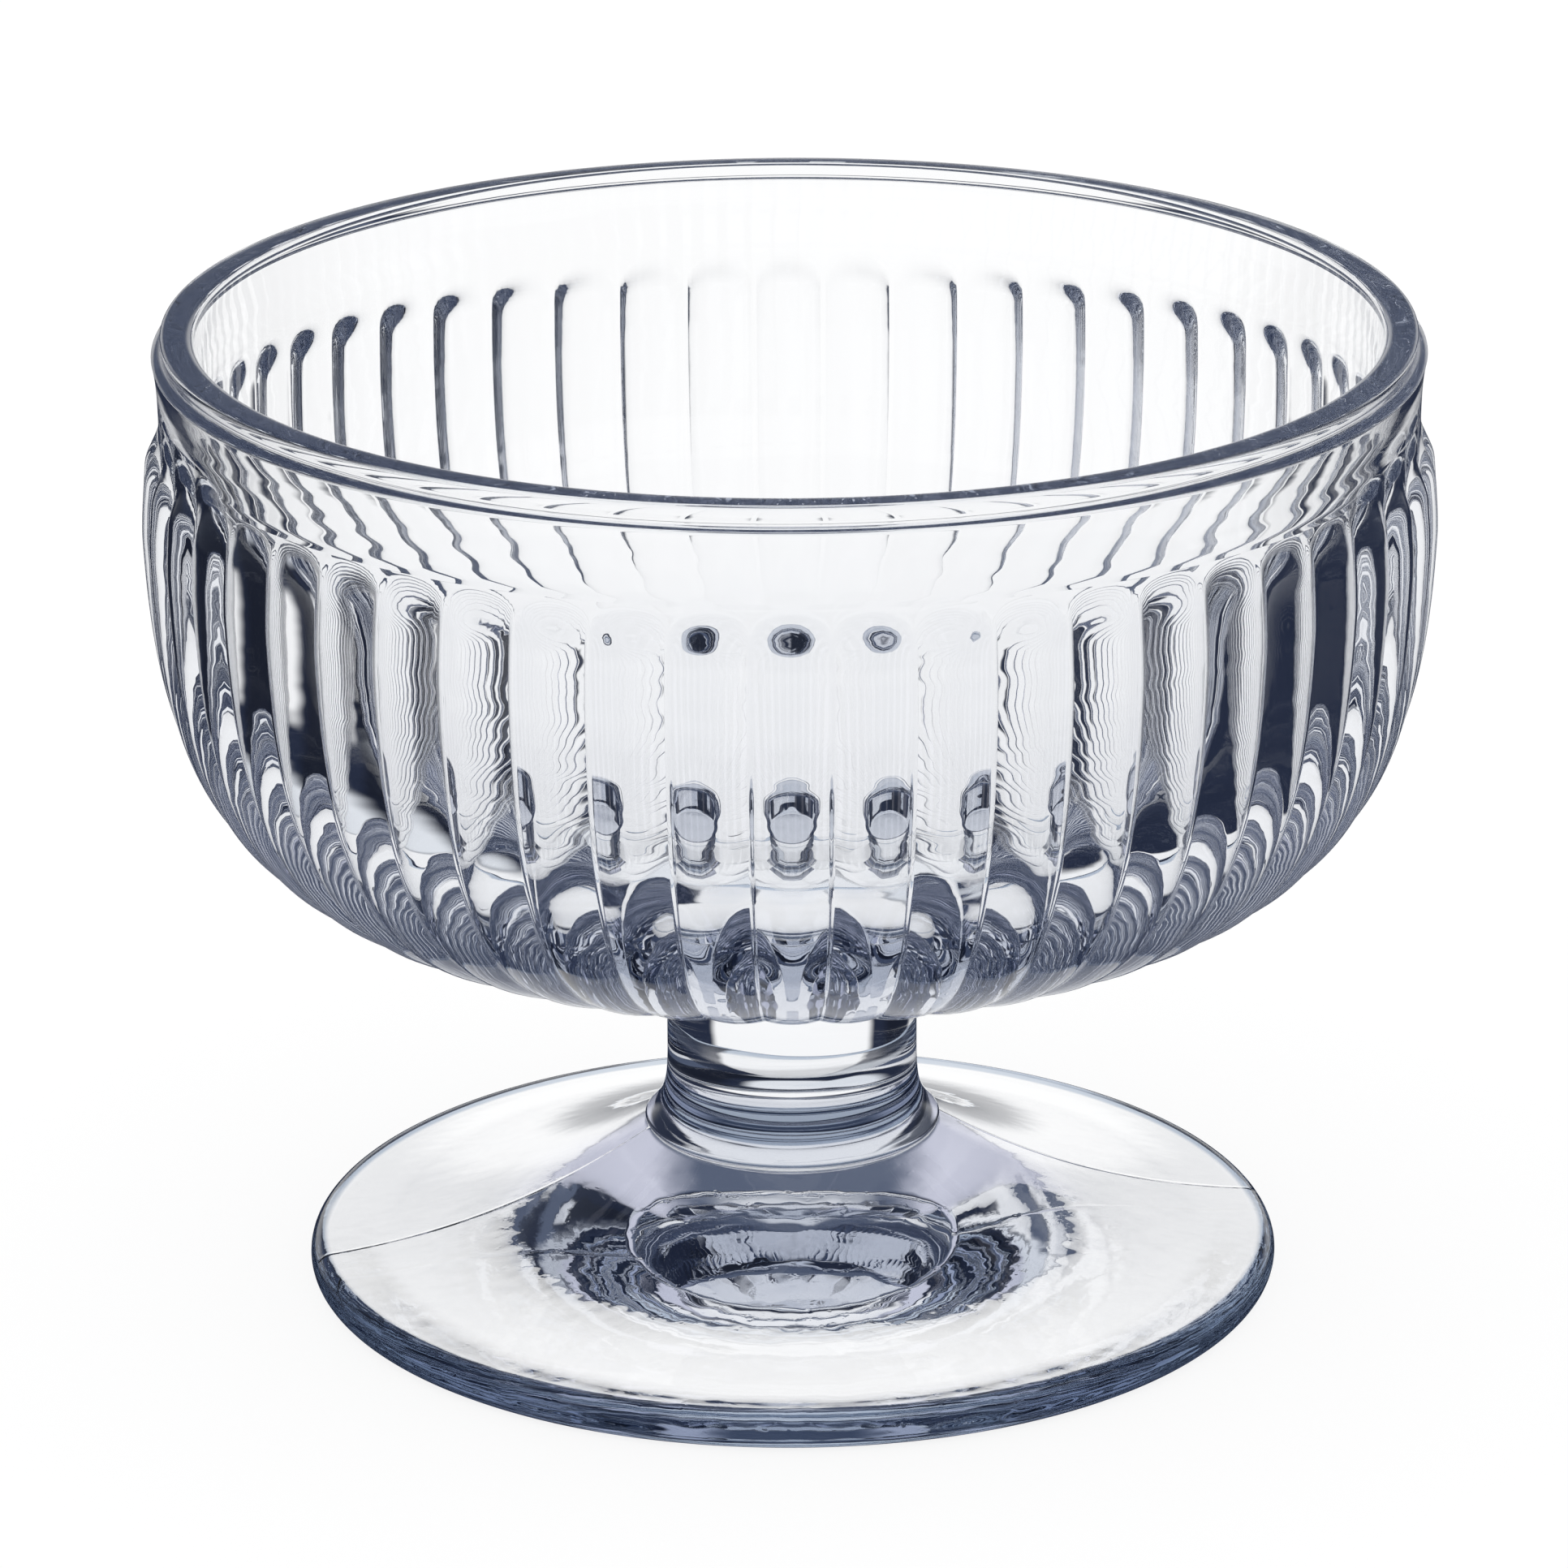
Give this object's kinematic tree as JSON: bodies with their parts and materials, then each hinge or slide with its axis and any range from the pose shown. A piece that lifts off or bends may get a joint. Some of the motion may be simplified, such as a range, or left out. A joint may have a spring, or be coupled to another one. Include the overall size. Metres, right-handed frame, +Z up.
{
  "type": "sundae dish",
  "caption": "Footed clear glass sundae dish: a round bowl with upright reeds under a plain rim, on a short flared stem and a spreading round foot.",
  "frame": {"origin": "on the table, under the middle of the foot", "axes": "+Z up along the axis of the dish, -Y towards the viewer of the picture"},
  "size_m": [0.1024, 0.1024, 0.0798],
  "materials": {
    "clear_glass": "fire-polished clear glass with a faint blue-grey cast"
  },
  "bodies": {
    "root": {"foot": "clear_glass", "stem": "clear_glass", "bowl": "clear_glass"}
  },
  "joints": []
}
